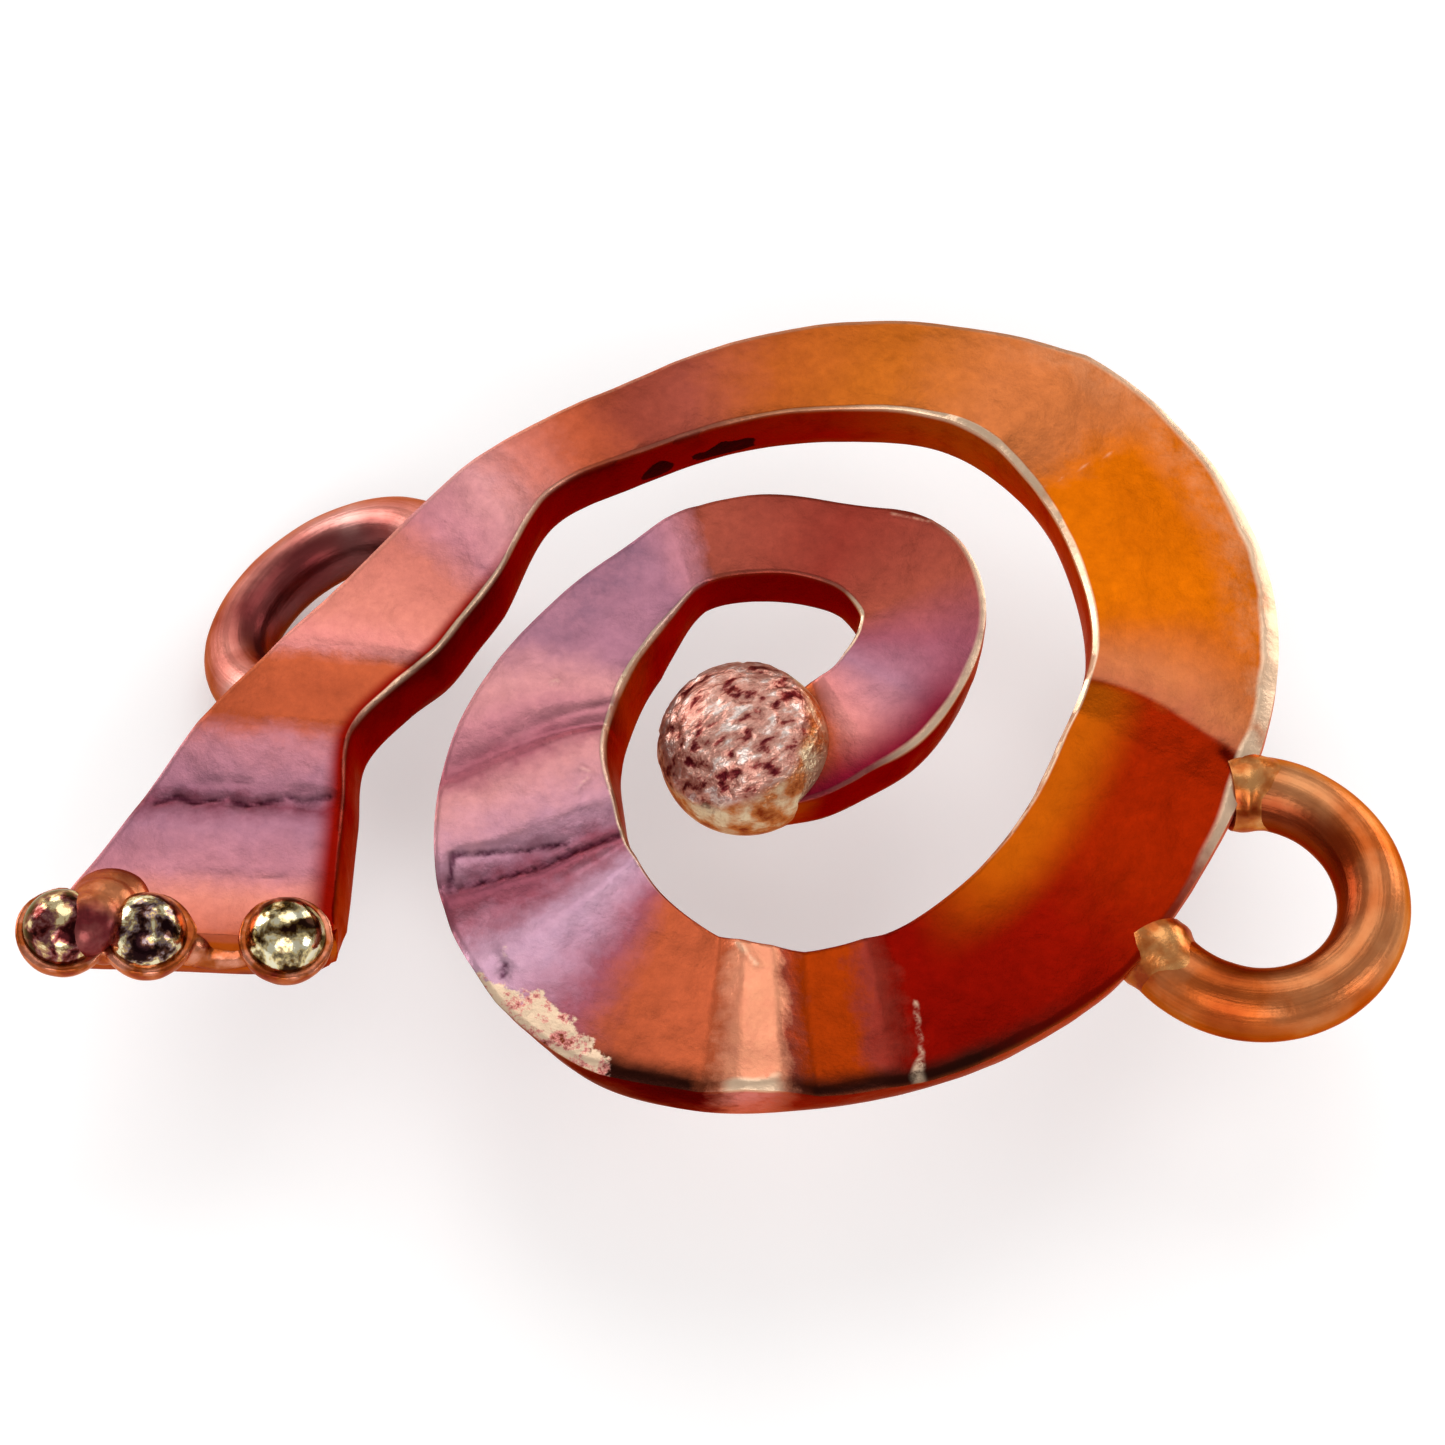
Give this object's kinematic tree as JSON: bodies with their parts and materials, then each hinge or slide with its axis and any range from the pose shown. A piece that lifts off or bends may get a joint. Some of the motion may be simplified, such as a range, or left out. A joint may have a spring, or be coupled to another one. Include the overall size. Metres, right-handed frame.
{
  "type": "spiral pendant link",
  "caption": "Forged copper spiral strip with flared tail, centre ball, brass beads, a soldered ring on the rim and a swinging ring behind the tail.",
  "frame": {"origin": "centre of the fixed ring, on the strip's mid-plane", "axes": "+Z is the front face's outward normal, +X runs from the tail to the fixed ring, +Y completes the right-handed set and points from the tail's beads to the top of the spiral"},
  "size_m": [0.0365, 0.024, 0.009],
  "materials": {
    "flamed_copper": "hammered copper with a torch-flame patina, polished to a satin gloss",
    "reticulated_copper": "grainy, pitted copper with a bright rim",
    "ring_copper": "polished round copper wire",
    "bright_brass": "mirror-polished brass with dark tarnish",
    "brazing_solder": "golden brazing solder, flowed and heat-stained"
  },
  "bodies": {
    "link": {"spiral_strip": "flamed_copper", "centre_ball": "reticulated_copper", "outer_bead": "bright_brass", "middle_bead": "bright_brass", "inner_bead": "bright_brass", "bead_solder": "brazing_solder", "fixed_ring": "ring_copper", "ring_solder": "brazing_solder", "ring_keeper": "ring_copper", "keeper_solder": "brazing_solder"},
    "loose_ring": {"swinging_ring": "ring_copper"}
  },
  "joints": [
    {"name": "ring_swing", "type": "hinge", "parent": "link", "child": "loose_ring", "pos_m": [-0.02196, 0.0087, -0.002], "axis": [0.4848, 0.8746, 0], "range_deg": [-144, 35]}
  ]
}
